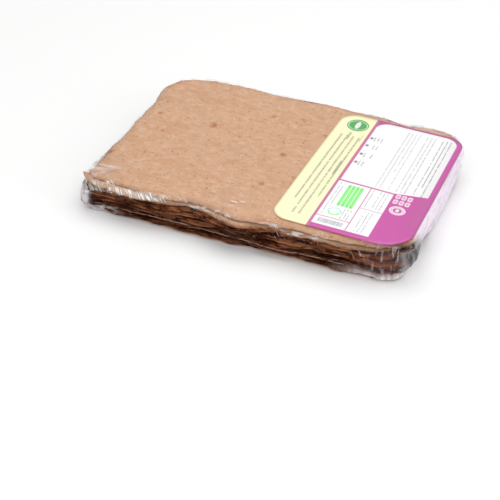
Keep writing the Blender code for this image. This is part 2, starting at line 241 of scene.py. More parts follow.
class Paint:
    """One material's nodes."""

    def __init__(self, name):
        self.material = bpy.data.materials.new(name)
        self.material.use_nodes = True
        self.tree = self.material.node_tree
        self.tree.nodes.clear()

    def node(self, kind, sockets, output=0, **settings):
        """Adds a node, sets it up, and gives its sockets their values or links."""
        made = self.tree.nodes.new("ShaderNode" + kind)
        for name, value in settings.items():
            setattr(made, name, value)
        for key, value in sockets.items():
            if isinstance(value, Value):
                self.tree.links.new(value.socket, made.inputs[key])
            elif made.inputs[key].type == "RGBA":
                made.inputs[key].default_value = (*value, 1)
            else:
                made.inputs[key].default_value = value
        return Value(self, made.outputs[output])

    def place(self):
        return self.node("TexCoord", {}, "Object")

    def parts(self, vector):
        split = self.node("SeparateXYZ", {0: vector}).socket.node
        return [Value(self, socket) for socket in split.outputs]

    def joined(self, x, y, z):
        return self.node("CombineXYZ", {0: x, 1: y, 2: z})

    def attribute(self, name):
        return self.node("Attribute", {}, "Fac", attribute_name=name)

    def mapped(self, vector, scale, turn=0):
        return self.node("Mapping", {"Vector": vector, "Rotation": (0, 0, turn), "Scale": scale})

    def noise(self, vector, scale, detail=2, roughness=0.5):
        sockets = {"Vector": vector, "Scale": scale, "Detail": detail, "Roughness": roughness}
        return self.node("TexNoise", sockets)

    def chance(self, value):
        """An even random number for each whole number."""
        return self.node("TexWhiteNoise", {"W": value}, noise_dimensions="1D")

    def specks(self, vector, scale, size, rarity):
        """Small round specks in some cells of a pattern of cells."""
        cells = self.node("TexVoronoi", {"Vector": vector, "Scale": scale})
        lot = self.parts(Value(self, cells.socket.node.outputs["Color"]))[0]
        return self.rise(cells, size, size / 2) * self.rise(lot, rarity, rarity + 0.03)

    def rise(self, value, low, high):
        """0 below low and 1 above high, with a smooth rise between them."""
        sockets = {"Value": value, "From Min": low, "From Max": high}
        return self.node("MapRange", sockets, interpolation_type="SMOOTHSTEP")

    def mix(self, share, first, second):
        """Blends two colours."""
        return self.node("Mix", {0: share, 6: first, 7: second}, 2, data_type="RGBA")

    def layers(self, skin, *layers):
        """Lays colours over a first one, each with its share."""
        for share, tone in layers:
            skin = self.mix(share, skin, tone)
        return skin

    def between(self, value, low, high, soft):
        """1 where a value lies between two limits, with soft edges."""
        return self.rise(value, low - soft, low + soft) * self.rise(value, high + soft, high - soft)

    def zone(self, places, fades):
        """The product of fades of named coordinates."""
        shares = []
        for name, *limits in fades:
            fade = (self.rise, self.between)[len(limits) == 3]
            shares.append(fade(places[name], *limits) if limits else places[name])
        return math.prod(shares[1:], start=shares[0])

    def bump(self, height, distance, strength=1):
        return self.node("Bump", {"Strength": strength, "Distance": distance, "Height": height})

    def principled(self, skin, roughness, **sockets):
        named = {name.replace("_", " "): value for name, value in sockets.items()}
        return self.node("BsdfPrincipled", {"Base Color": skin, "Roughness": roughness, **named})

    def finish(self, shader):
        output = self.tree.nodes.new("ShaderNodeOutputMaterial")
        self.tree.links.new(shader.socket, output.inputs["Surface"])
        return self.material


# Baked spots on the top sheet: place and radius in millimetres
BAKED_SPOTS = (
    *((-70.8, 21.4, 2.6), (-121.4, 20.3, 1.6), (-132.6, -56.5, 1.7), (-28.1, 58.6, 1.8), (0.2, -0.8, 2)),
    *((-83.8, 99, 1.7), (23, 46.1, 1.3), (-3.1, 64.9, 1.4), (-0.6, -52.2, 1.3), (19.4, -32.3, 1.2)),
)
SPOT_SOFTNESS = 2.1
SPOT_SQUEEZE = (0.95, 0.75)
# Heights where the spots, the painted shade of the lower sheets, of the stack's depth and of its foot start
# and are full
SPOT_HEIGHTS = (PACK_TOP - 0.0065, PACK_TOP - 0.0045)
LOWER_SHADE_HEIGHTS = (PACK_TOP * 0.77, PACK_TOP * 0.65)
DEPTH_SHADE_HEIGHTS = (PACK_TOP * 0.8, PACK_TOP * 0.25)
FOOT_SHADE_HEIGHTS = (0.0145, 0.0075)


def baked_spots(paint, place, mottle):
    """Soft, uneven, roundish spots."""
    x, y, z = paint.parts(place)
    spots = 0
    for spot_x, spot_y, radius in BAKED_SPOTS:
        across = (x - spot_x * MM) * SPOT_SQUEEZE[0]
        along = (y - spot_y * MM) * SPOT_SQUEEZE[1]
        reach = (across * across + along * along).root() + (mottle - 0.5) * (3 * radius * MM)
        spots = spots + paint.rise(reach, (radius + SPOT_SOFTNESS) * MM, (radius - SPOT_SOFTNESS) * MM)
    return spots * paint.rise(z, *SPOT_HEIGHTS)


def bread_material(look):
    """Pale baked bread with faint streaks, bran specks, baked spots, toasted broken rims, and painted shade
    lower in the stack.
    """
    paint = Paint("oat_bread")
    place = paint.place()
    x, y, z = paint.parts(place)
    mottle = paint.noise(paint.mapped(place, (0.7, 1, 1)), 190, 4, 0.65)
    streaks = paint.noise(paint.mapped(place, (0.45, 1, 1)), 620, 3, 0.65)
    patches = paint.noise(place, 55, 3, 0.55)
    grain = paint.noise(place, 900, 3, 0.7)
    blotches = paint.noise(paint.mapped(place, (0.6, 1, 1.6)), 240, 3, 0.65)
    shade_and_crumb_bands = paint.noise(paint.mapped(place, (0.35, 1, 2.4)), 120, 2, 0.5)
    specks = paint.specks(paint.mapped(place, (0.7, 1, 1)), 270, 0.2, 0.6)
    small_specks = paint.specks(paint.mapped(place, (0.6, 1, 1)), 520, 0.28, 0.78)
    edge = paint.attribute("edge")

    # The baked face: a pattern, where it comes in and is full, how strongly it shows, and its colour
    face = look.crust
    for pattern, low, high, strength, tone in (
        (mottle, 0.48, 0.66, 0.8, look.pale),
        (mottle, 0.46, 0.3, 0.7, look.warm),
        (streaks, 0.52, 0.7, 0.4, look.warm),
        (streaks, 0.44, 0.28, 0.3, look.pale),
        (patches, 0.5, 0.66, 0.4, look.warm),
        (patches, 0.46, 0.32, 0.4, look.rosy),
        (grain, 0.54, 0.7, 0.3, look.speck),
        (grain, 0.46, 0.32, 0.35, look.pale),
    ):
        face = paint.mix(paint.rise(pattern, low, high) * strength, face, tone)
    crust = paint.layers(
        face,
        (specks * (0.35 + 0.6 * paint.rise(patches, 0.4, 0.6)), look.speck),
        (small_specks * 0.65, look.speck),
        (baked_spots(paint, place, mottle) * 0.95, look.spot),
    )

    # Painted shade darkens the slopes lower and deeper in the stack and in crevice-like bands; paler crumb
    # shows on some lips
    lower = paint.rise(z, *LOWER_SHADE_HEIGHTS)
    depth = paint.rise(z, *DEPTH_SHADE_HEIGHTS)
    slope = paint.rise(edge + (blotches - 0.5) * 1.3, 0.15, 0.85)
    broken = paint.rise(edge, 0.78, 0.96) * lower * paint.rise(blotches, 0.62, 0.44)
    corner_shade = paint.rise(x, 0.098, 0.114) * paint.rise(y, -0.076, -0.088) * paint.rise(edge, 0, 0.3)
    skin = paint.layers(
        crust,
        # Painted shade: brown laid over the lower sheets by height
        (lower * 0.8, look.baked),
        # Toasted brown beside the rims, with painted shade that grows lower and deeper in the stack
        (slope * (0.16 + 0.66 * lower + 0.16 * depth), look.toast),
        # Dark lips: partly toasted crust, partly painted shade
        (paint.rise(edge + (streaks - 0.5) * 0.6, 0.88, 1.02) * 0.38, look.dark),
        # Painted shade: dark blotches on the lower sheets
        (lower * paint.rise(blotches, 0.44, 0.64) * 0.8, look.dark),
        # Painted shade in the crevices under the sheets above
        (lower * paint.rise(edge, 0.5, 0.22) * 0.95, look.dark),
        (broken * 0.5, look.crumb),
        # Painted shade in crevice-like bands on the lower sheets, with paler crumb between them
        (lower * paint.rise(shade_and_crumb_bands, 0.52, 0.62) * 0.75, look.dark),
        (lower * paint.rise(shade_and_crumb_bands, 0.46, 0.36) * 0.35, look.crumb),
        # Painted shade at the front right corner, under the card
        (corner_shade * 0.65, look.toast),
        # Painted shade at the stack's foot
        (paint.rise(z, *FOOT_SHADE_HEIGHTS) * 0.5, look.dark),
        # Painted shade on the sheets' lower faces; the lowest sheet's bottom keeps its crust
        (paint.attribute("under") * 0.95, look.dark),
        (paint.attribute("bottom"), crust),
    )

    height = mottle * 1.2 + streaks * 0.5 + grain * 0.3 - specks * 0.5 - small_specks * 0.3
    relief = paint.bump(height, 0.0006, 0.6)
    return paint.finish(paint.principled(skin, 0.85, Normal=relief, Specular_IOR_Level=0.03))


# The top card in its own axes, in millimetres: its sides, and each corner's place, way inwards and radius
CARD_LEFT, CARD_RIGHT, CARD_FRONT, CARD_BACK = 23.7, 134.5, -91.9, 96.2
CARD_CORNERS = (
    (CARD_LEFT, CARD_FRONT, 1, 1, 13),
    (CARD_RIGHT, CARD_FRONT, -1, 1, 28),
    (CARD_RIGHT, CARD_BACK, -1, -1, 15),
    (CARD_LEFT, CARD_BACK, 1, -1, 16),
)
CARD_TURN = math.radians(-2.6)
CARD_THICKNESS = 0.0004
PRINT_SOFT = 0.25


class Print(Paint):
    """A card's nodes: fields and simple shapes on its flat coordinates x and y, in millimetres."""

    def field(self, left, right, front, back):
        across = self.between(self.x, left, right, PRINT_SOFT)
        return across * self.between(self.y, front, back, PRINT_SOFT)

    def rounded(self, left, right, front, back, radius):
        """A field with rounded corners."""
        out_x = (abs(self.x - (left + right) / 2) - ((right - left) / 2 - radius)).larger(0)
        out_y = (abs(self.y - (front + back) / 2) - ((back - front) / 2 - radius)).larger(0)
        reach = (out_x * out_x + out_y * out_y).root()
        return self.rise(reach, radius + PRINT_SOFT, radius - PRINT_SOFT)

    def oval(self, x, y, half_width, half_height):
        across = (self.x - x) / half_width
        along = (self.y - y) / half_height
        soft = PRINT_SOFT / half_width
        return self.rise((across * across + along * along).root(), 1 + soft, 1 - soft)

    def ring(self, x, y, outer, inner):
        return self.oval(x, y, outer, outer) * (1 - self.oval(x, y, inner, inner))

    def text_rows(self, sides, pitch, weight, fullness, seed):
        """Text-like rows of thin dashes of uneven lengths along Y, inside the given sides."""
        left, right, front, back = sides
        sway = self.noise(self.joined(self.y * 0.8, self.x * 0.1 + seed, 0), 1, 2, 0.7) - 0.5
        step = (self.x - left + sway * 1.8) / pitch
        row = step.whole()
        half = weight / 2 / pitch
        stroke = self.rise(abs(step.rest() - 0.5), half + PRINT_SOFT / pitch, half)
        words = self.noise(self.joined(self.y * 0.32, row * 7.3 + seed, seed), 1, 2, 0.6)
        letters = self.noise(self.joined(self.y * 1.5, row * 3.1 + seed, seed), 1, 1, 0.5)
        written = self.rise(words, 0.72 - fullness / 3, 0.76 - fullness / 3)
        written = written * (0.35 + 0.65 * self.rise(letters, 0.38, 0.52))
        ends = (self.y - front) / (back - front) + self.chance(row + seed) * 0.55
        there = self.rise(ends, 0.22, 0.24) * self.rise(self.chance(row + seed + 50), 0.08, 0.1)
        return stroke * written * there * self.field(*sides)


# Text-like blocks of the top card: their sides, then the rows' pitch, weight, fullness and seed
TEXT_BLOCKS = (
    ((30.5, 51.5, -80, 57), 5.3, 1.5, 1.1, 1),
    ((45.5, 51, -16, 12), 5.5, 2, 1.3, 12),
    ((36.5, 51, 50, 63), 6, 2, 1.3, 13),
    *(((60.5, 70, front, front + 8), 3, 0.9, 1.2, 8 + row) for row, front in enumerate((12, 27, 43, 57))),
    ((58, 64, -71, -20), 2.6, 0.5, 0.9, 3),
    ((85.5, 101, -47, -19), 3, 0.5, 0.9, 5),
    ((85.5, 101.5, -84, -52), 3, 0.5, 0.9, 6),
    ((73.5, 82, -72, -56.5), 2.6, 0.5, 0.9, 7),
)


def back_card_material(look):
    """The top card: yellow strip, white panels between rose lines, a magenta field and text-like rows."""
    paint = Print("top_card_print")
    x, y, _ = paint.parts(paint.mapped(paint.place(), (1 / MM,) * 3, -CARD_TURN))
    paint.x, paint.y = x, y
    field, oval, ring = paint.field, paint.oval, paint.ring

    # The large panel ends at the front along a line that slants past the small panels
    panel_end = y - (x - 102.6).larger(0) * 0.23
    panel = paint.rounded(56.6, 129.3, -40, 93.4, 12)
    panel = panel * paint.rise(panel_end, -15.6 - PRINT_SOFT, -15.6 + PRINT_SOFT)
    skin = paint.layers(
        look.magenta,
        (field(CARD_LEFT - 2, 54, -120, 120), look.yellow),
        (field(54, 56.2, -120, 120), look.rose),
        (panel, look.white),
        (field(56.3, 102.8, -86, -17.6), look.white),
        (field(83.4, 84.3, -86, -17) * 0.9, look.rose),
        (field(56, 83.6, -74.3, -73.3) * 0.9, look.rose),
        (field(84, 103, -49.9, -49.1) * 0.9, look.rose),
        (field(56, 103, -17.6, -15.8), look.rose),
    )
    for left in (65.9 + bar * 3.4 for bar in range(4)):
        skin = paint.layers(
            skin,
            (field(left, left + 2.8, -54.5, -20.5), look.green),
            (oval(left + 1.4, -52, 0.5, 1.6) * 0.5, look.leaf),
            (oval(left + 1.4, -24, 0.5, 1.6) * 0.5, look.leaf),
        )

    # A ring of two halves, and upright bars below it
    half = paint.rise(y, -65.2, -64)
    bars = paint.rise(paint.noise(paint.joined(x * 1.7, 3, 5), 1, 1, 0.8), 0.48, 0.52)
    skin = paint.layers(
        skin,
        (ring(67.8, -64.5, 6, 4.9) * half, look.sky),
        (ring(67.8, -64.5, 5, 3.6) * (1 - half), look.green),
        (bars * field(58.8, 80, -83, -76.8) * 0.75, look.ink),
    )

    # Six small badges and a round one on the magenta field, and an oval badge on the yellow strip
    for number in range(6):
        left, front = 105 + number % 3 * 5, -30.5 + number // 3 * 8.4
        skin = paint.layers(
            skin,
            (paint.rounded(left, left + 3.9, front, front + 6.8, 1.4) * 0.75, look.white),
            (oval(left + 1.95, front + 3.4, 1.1, 1.7) * 0.6, look.magenta),
        )
    skin = paint.layers(
        skin,
        (ring(112.2, -39.5, 6.6, 3.6) * 0.8, look.white),
        (ring(112.2, -39.5, 5.3, 4.7) * 0.6, look.magenta),
        (oval(112.2, -39.5, 1.5, 2.4) * 0.8, look.white),
        (oval(41, 78, 9.6, 10.8), look.leaf),
        (ring(41, 78, 8.6, 8), look.white),
        (oval(41, 78, 2.2, 6.6) * 0.85, look.white),
    )

    rows = paint.text_rows((84, 127.5, -13, 88), 3.45, 0.8, 1, 2)
    red = paint.rise(paint.noise(paint.joined(x * 0.09, y * 0.05, 9), 1), 0.62, 0.64)
    weight = 0.4 + 0.3 * paint.rise(x, 98, 124)
    skin = paint.layers(
        skin,
        (rows * weight, paint.mix(red, look.ink, look.red_ink)),
        *((paint.text_rows(*block) * 0.6, look.ink) for block in TEXT_BLOCKS),
        *((oval(59, dot_y, 1.5, 1.9) * 0.85, look.ink) for dot_y in (16.8, 31.8, 47.9, 61.7)),
    )
    relief = paint.bump(paint.noise(paint.place(), 38, 1), 0.0012, 0.35)
    return paint.finish(paint.principled(skin, 0.32, Normal=relief))


def front_card_material(look):
    """The lower card: a purple header with plain shapes, a yellow field, and a purple flap at the back."""
    paint = Print("lower_card_print")
    x, y, z = paint.parts(paint.place())
    paint.x, paint.y = x / MM, y / MM
    field, oval, ring = paint.field, paint.oval, paint.ring
    skin = paint.layers(
        look.purple,
        (field(-106, 120, 18, 93), look.yellow),
        (oval(10, -58, 21, 11.5), look.white),
        (oval(10, -58, 19.5, 10.2), look.leaf),
        (oval(10, -58, 13, 1.6), look.white),
        (paint.rounded(-62, 84, -34, -25, 4.5) * 0.9, look.white),
        (paint.rounded(-44, 52, -17, -8, 4.5) * 0.9, look.white),
        (ring(-68, 54, 24, 21.8), look.ink),
        (ring(-68, 54, 19, 11), look.green),
        (oval(-68, 54, 8, 8), look.leaf),
        (paint.text_rows((-22, 112, 26, 86), 7.6, 1.8, 1, 4) * 0.6, look.ink),
    )
    flap = paint.mix(paint.rise(z, 0.0096, 0.0104), look.plum, look.purple)
    skin = paint.mix(paint.rise(z, 0.0016, 0.0022), skin, flap)
    return paint.finish(paint.principled(skin, 0.32))


# Zones of the film, each the product of its fades, for milky bunched film, painted highlights, painted glare
# and a painted shadow. A fade is a coordinate's name, then where it starts and is full, or two limits and a
# softness, or nothing.
FRONT = ("y", -0.084, -0.092)
FILM_ZONES = {
    "front": (FRONT,),
    "middle": (("side",), FRONT, ("x", -0.1, 0.095, 0.015)),
    "right_end": (("card_x", 133.9, 135.7), ("card_y", -88, -58)),
    # Painted glare over the card, near its right end at the back and at the front
    "veil": (("card_x", 118, 131), ("card_y", 44, 78), ("top",)),
    "sheen": (("card_x", 116, 131), ("card_y", -88, -50), ("top",)),
    "ear": (("x", -0.126, -0.134), ("y", -0.078, -0.092), ("side",), ("level", 0.94, 0.84)),
    "left_foot": (("x", -0.095, -0.125), ("level", 0.42, 0.22), FRONT),
    # Painted highlight streaks over the front's slopes, crease, shelf and fan
    "slopes": (("x", -0.02, -0.04), ("band", 0.77, 0.96, 0.03), FRONT, ("top", 0.2, 0.06)),
    "patches": (("x", -0.128, -0.066, 0.006),),
    "crease": (("x", -0.05, -0.006, 0.005), ("level", 0.82, 0.95, 0.02), FRONT),
    "shelf": (("x", -0.03, 0.115, 0.008), ("level", 0.55, 0.93, 0.06), FRONT),
    "fan": (("x", 0.02, 0.066, 0.01), ("level", 0.84, 0.97, 0.02), FRONT),
    "sides": (("side",),),
    "corner": (("x", 0.088, 0.116), ("y", -0.034, -0.07), ("side",)),
    "foot": (("x", 0.066, 0.112), ("y", -0.034, -0.07), ("level", 0, 0.03), ("level", 0.42, 0.05)),
    # A painted shadow over the bread's shaded front right corner
    "smoky": (("x", 0.1235, 0.1275), ("y", -0.094, -0.062, 0.004), ("level", 0.36, 0.93, 0.08)),
    # Painted glints near the top's front edge, and painted highlight wisps at the top's front left
    "rim": (("x", -0.032, -0.004, 0.005), ("y", -0.07, -0.09), ("top", 0.02, 0.3)),
    "left_top": (("x", -0.098, -0.125), ("y", -0.05, -0.08), ("top", 0.15, 0.45)),
    "back_right": (("x", 0.02, 0.09), ("y", 0.08, 0.098)),
}
# How much milky film and painted highlight a zone gets: its even share, and what a pattern adds as it rises
# between two of its values
FILM_HAZE = (
    ("veil", 0.22, 0.25, "drawn", 0.45, 0.6),
    ("left_foot", 0, 0.6, "ripples", 0.42, 0.6),
    ("crease", 0, 0.5, "ripples", 0.44, 0.62),
    ("fan", 0.08, 0.5, "ripples", 0.46, 0.6),
    ("sides", 0, 0.3, "ripples", 0.66, 0.72),
    ("corner", 0.04, 0.32, "upright", 0.54, 0.66),
    ("foot", 0.62, 0.3, "upright", 0.4, 0.6),
    ("rim", 0, 0.75, "strokes", 0.6, 0.66),
    ("left_top", 0, 0.42, "wisps", 0.4, 0.66),
    ("back_right", 0.15, 0.2, "ripples", 0.4, 0.6),
)
# The weld seam's half width and softness
SEAM_BAND = (0.012, 0.01)
# The painted highlight streaks over the front's slopes run lower towards the left corner
BAND_DROP = 0.1
BAND_DROP_X = (-0.096, -0.126)
# The gloss grows towards the film's outline
GLOSS_POWER = 5
GLOSS_MOST = 0.5
GLOSS_LEAST = 0.004


def film_patterns(paint, place):
    """Noise patterns for the film's fine lines, folds, crumples and drawn streaks."""
    x, y, z = paint.parts(place)
    slant = paint.joined(x + z * 0.7 + y * 0.35, y * 0.12 + z * 0.1, 0)
    return {
        "lines": paint.noise(slant, 760, 2, 0.5),
        "folds": paint.noise(place, 85, 2, 0.5),
        "upright": paint.noise(paint.mapped(place, (1, 1, 0.16)), 300, 3, 0.6),
        "ripples": paint.noise(paint.mapped(place, (0.4, 1, 1)), 300, 3, 0.6),
        "wisps": paint.noise(paint.mapped(place, (0.3, 1, 1), 0.35), 130, 3, 0.6),
        "drawn": paint.noise(paint.mapped(place, (1, 0.1, 0.7)), 420, 3, 0.6),
        "strokes": paint.noise(paint.mapped(place, (0.22, 1, 1), -0.65), 300, 1, 0.5),
    }


def film_material(look):
    """Clear gloss film, milky where bunched, with painted highlights and shadow at the front, corners and
    right end.
    """
    paint = Paint("clear_film")
    place = paint.place()
    x, y, _ = paint.parts(place)
    card_x, card_y, _ = paint.parts(paint.mapped(place, (1 / MM,) * 3, -CARD_TURN))
    level, top = paint.attribute("level"), paint.attribute("top")
    places = dict(x=x, y=y, card_x=card_x, card_y=card_y, level=level, top=top, side=1 - top)
    places["band"] = level - BAND_DROP * paint.rise(x, *BAND_DROP_X)
    zones = SimpleNamespace(**{name: paint.zone(places, fades) for name, fades in FILM_ZONES.items()})
    patterns = film_patterns(paint, place)

    def fade(pattern, low, high):
        return paint.rise(patterns[pattern], low, high)

    facing = paint.node("LayerWeight", {"Blend": 0.5}, "Facing")
    crumple = fade("folds", 0.36, 0.6) * 0.35 + fade("upright", 0.46, 0.58) * 0.35
    patches = zones.patches * (0.16 + 0.34 * fade("folds", 0.42, 0.58))
    streaks = fade("lines", 0.5, 0.6) * (0.2 + patches) + patches * 0.7
    half, soft = SEAM_BAND
    seam = paint.between(level, look.seam_level - half, look.seam_level + half, soft)
    # The right end: bunched film with a painted reflection of the bright light at the right
    haze = zones.right_end * (0.6 + 0.22 * fade("drawn", 0.35, 0.6) + 0.3 * facing)
    # Other zones: milky bunched film, painted highlight streaks and glints, and painted glare over the card
    for name, even, more, pattern, low, high in FILM_HAZE:
        haze = haze.larger(getattr(zones, name) * (even + more * fade(pattern, low, high)))
    # Painted glare, the crumpled ear, painted highlight streaks, the painted corner shadow and the weld seam
    for share in (
        zones.sheen * 0.16,
        zones.ear * (crumple + 0.22),
        zones.slopes * streaks,
        zones.shelf * fade("lines", 0.62, 0.68) * fade("folds", 0.44, 0.56) * 0.7,
        zones.smoky * 0.82,
        seam * fade("ripples", 0.3, 0.55) * 0.5,
    ):
        haze = haze.larger(share)

    # Tints: lilac painted glare, grey painted shade in the pleats, warm tan over the front, warm painted
    # highlights and the painted corner shadow
    tint = paint.layers(
        look.haze,
        (zones.right_end * 0.8, look.lilac),
        (zones.right_end * fade("drawn", 0.52, 0.66) * 0.35, look.shade),
        (zones.veil.larger(zones.sheen), look.lilac),
        (zones.ear * fade("ripples", 0.46, 0.6) * 0.6, look.shade),
        (zones.middle * 0.6, look.seam_tint),
        (zones.slopes.larger(zones.crease).larger(zones.fan), look.glint),
        (seam * zones.front, look.seam_tint),
        (zones.smoky * (0.8 + 0.2 * fade("upright", 0.62, 0.46)), look.smoke),
    )
    share = haze.larger(facing.power(GLOSS_POWER) * GLOSS_MOST + GLOSS_LEAST) * paint.attribute("outer")
    milky = paint.rise(haze, 0.06, 0.3)
    relief = paint.bump(patterns["folds"] + patterns["lines"] * 0.3 + patterns["ripples"] * 0.3, 0.001, 0.5)
    clear = paint.node("BsdfTransparent", {"Color": (1, 1, 1)})
    gleam = paint.principled(tint, 0.1 + milky * 0.25, Metallic=1 - milky, Normal=relief)
    return paint.finish(paint.node("MixShader", {0: share, 1: clear, 2: gleam}))


def floor_material(look):
    paint = Paint("pale_floor")
    skin = paint.mix(paint.noise(paint.place(), 3, 2) * 0.04, look.floor, look.floor_shade)
    return paint.finish(paint.principled(skin, 0.6, Specular_IOR_Level=0.2))


UP = np.array((0.0, 0.0, 1.0))


def solid_tree(node):
    """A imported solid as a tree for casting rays."""
    mesh = frame["nodes"][node].data
    places = [vertex.co for vertex in mesh.vertices]
    return BVHTree.FromPolygons(places, [face.vertices for face in mesh.polygons])


def face_height(tree, x, y):
    """Height of a solid's upper face."""
    return tree.ray_cast(Vector((x, y, 1.0)), Vector((0, 0, -1)))[0].z


def rim_line(node):
    """Middle of a sheet's rim, read from the solid's upright walls and put in order around the pack."""
    mesh = frame["nodes"][node].data
    upright = [face for face in mesh.polygons if abs(face.normal.z) < 0.5]
    corners = {index for face in upright for index in face.vertices}
    places = {tuple(round(part, 6) for part in mesh.vertices[index].co) for index in corners}
    ordered = np.array(sorted(places, key=lambda place: math.atan2(place[1], place[0])))
    return (ordered[0::2] + ordered[1::2]) / 2


def refined(points, steps):
    """More points on a smooth closed line through the given ones."""
    before, after, beyond = (np.roll(points, turn, axis=0) for turn in (1, -1, -2))
    parts = []
    for step in range(steps):
        share = step / steps
        bend = (2 * before - 5 * points + 4 * after - beyond) * share**2
        twist = (3 * points - before - 3 * after + beyond) * share**3
        parts.append((2 * points + (after - before) * share + bend + twist) / 2)
    return np.stack(parts, axis=1).reshape(-1, points.shape[1])


def outward(line):
    """Level directions that point out of a closed line."""
    along = np.roll(line, -1, axis=0) - np.roll(line, 1, axis=0)
    out = np.stack((along[:, 1], -along[:, 0], np.zeros(len(line))), axis=1)
    return out / np.linalg.norm(out, axis=1)[:, None]


def laid(tree, ring, depth=0.0):
    """A ring of points laid on a solid's upper face, or a depth below it."""
    ring[:, 2] = [face_height(tree, x, y) - depth for x, y, _ in ring]
    return ring


def ramp(values, start, width):
    """0 before a start and 1 past a width from it."""
    return np.clip((values - start) / width, 0, 1)


def nearness(line, place, spread):
    """1 at a place and less around it, for each point of a line."""
    return np.exp(-(np.linalg.norm(line[:, :2] - place, axis=1) / spread) ** 2)


def wobble(line, length, seed):
    """Smooth random values between about -1 and 1 along a line, in waves of the given length."""
    return np.array([noise.noise(Vector((point[0] / length, point[1] / length, seed))) for point in line])


def waves(line, seed, kinds):
    """The sum of kinds of random waves: each is a strength, a length and what is added to the seed."""
    return sum(strength * wobble(line, length, seed + change) for strength, length, change in kinds)


def ringed_skin(name, rings):
    """A skin through closed rings: a circle, extruded once for each further ring."""
    bpy.ops.object.select_all(action="DESELECT")
    bpy.ops.mesh.primitive_circle_add(vertices=len(rings[0]), radius=1.0, fill_type="NOTHING")
    skin = bpy.context.object
    skin.name = name
    skin.data.name = name
    set_mode("EDIT")
    bpy.ops.mesh.select_all(action="SELECT")
    for _ in rings[1:]:
        bpy.ops.mesh.extrude_region_move()
    set_mode("OBJECT")
    skin.data.vertices.foreach_set("co", np.array(rings, dtype=np.float32).ravel())
    skin.data.update()
    return skin


def set_mode(mode):
    bpy.ops.object.mode_set(mode=mode)


def close_ring(skin, rings, number):
    """Fills one of a skin's rings with a fan of triangles."""
    count = len(rings[0])
    first = number % len(rings) * count
    set_mode("EDIT")
    bpy.ops.mesh.select_mode(type="VERT")
    bpy.ops.mesh.select_all(action="DESELECT")
    set_mode("OBJECT")
    for vertex in skin.data.vertices[first : first + count]:
        vertex.select = True
    set_mode("EDIT")
    bpy.ops.mesh.edge_face_add()
    bpy.ops.mesh.poke()
    set_mode("OBJECT")


def face_outwards():
    set_mode("EDIT")
    bpy.ops.mesh.select_all(action="SELECT")
    bpy.ops.mesh.normals_make_consistent(inside=False)
    set_mode("OBJECT")


def thicken(skin, thickness):
    """Gives a skin a wall on its inner side."""
    wall = skin.modifiers.new("Wall", "SOLIDIFY")
    wall.thickness = thickness
    wall.offset = -1.0
    bpy.ops.object.modifier_apply(modifier=wall.name)


def set_attribute(skin, name, values, rest=0.0):
    """Stores one value for each vertex, with a rest value past the given ones."""
    stored = skin.data.attributes.new(name, "FLOAT", "POINT")
    padded = np.full(len(skin.data.vertices), rest, dtype=np.float32)
    padded[: len(values)] = values
    stored.data.foreach_set("value", padded)


def dress(piece, material, node):
    """Gives a piece its material, lets it stand for a solid and fixes it to the pack."""
    piece.data.materials.clear()
    piece.data.materials.append(material)
    bpy.context.view_layer.objects.active = piece
    piece.select_set(True)
    bpy.ops.object.shade_smooth()
    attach(piece, "root")
    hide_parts(node)


HALF_SHEET = 0.0013
FLAT_SHARES = (0.3, 0.62, 0.88)
# Steps down a sheet's slope: how far in from the rim as a share of the slope, and how far it has come
SLOPE_STEPS = ((1.0, 0.0), (0.74, 0.1), (0.5, 0.26), (0.31, 0.46), (0.15, 0.7), (0.05, 0.9), (0.0, 1.0))
SLOPE_POWER = 1.5
LIP_SHARE = 0.6
LIP_ROUNDING = 0.0002
MOST_REACH = 0.0012
LEAST_REACH = 0.004
# Random waves of a rim's lip, lean, height, tears, sway and back: each wave's strength, length and added seed
RIM_WAVES = (
    ((0.6, 0.011, 0),),
    ((1.5, 0.027, 5),),
    ((0.9, 0.034, 7), (1.0, 0.013, 9), (0.4, 0.005, 13)),
    ((1.0, 0.009, 17), (0.5, 0.0028, 21)),
    ((1.0, 0.03, 25),),
    ((1.0, 0.0055, 29),),
)
MEAN_LEAN = -0.25
MEAN_TEAR = -0.25
MEAN_SWAY = -0.3
# The top sheet sways less, and the sheets below the top two wave more
TOP_SWAY = 0.25
LOWER_WAVES = 1.5
# At the front left the top two sheets are pinched together, and the second one stands out and droops.
# The ramps are a start and a width, either way along the axis.
PINCH_Y = (-0.086, -0.01)
PINCH_X = (0.03, -0.035)
PINCH_HOLD = 0.8
TOP_DRAW = 0.001
SECOND_REACH = 0.0006
SECOND_LIFT = 0.0008
SECOND_DROOP = 0.0006
SHARP_CORNER = (-0.136, -0.096)
SHARP_SPREAD = 0.008
SHARP_REACH = {TOP_SHEET: (-0.002, 0.0022, 0.0), SECOND_SHEET: (-0.004, 0.0028, 0.0)}
SHARP_LIFT = {TOP_SHEET: 0.0024, SECOND_SHEET: 0.0056}
# The rims keep their reach and height at the back, where a flap covers them
BACK_Y = (0.02, 0.06)
BACK_HOLD = 0.8
BACK_LEAN = 0.5
BACK_TEARS = 0.0016
# The waves are lower at the pinch and at the back
CALM = 0.6
# At the front right corner the top three sheets draw in under the card
TUCKED_SHEETS = SHEETS[-3:]
TUCK_PLACE = (0.128, -0.092)
TUCK_REACH = 0.0078
TUCK_SPREAD = 0.018


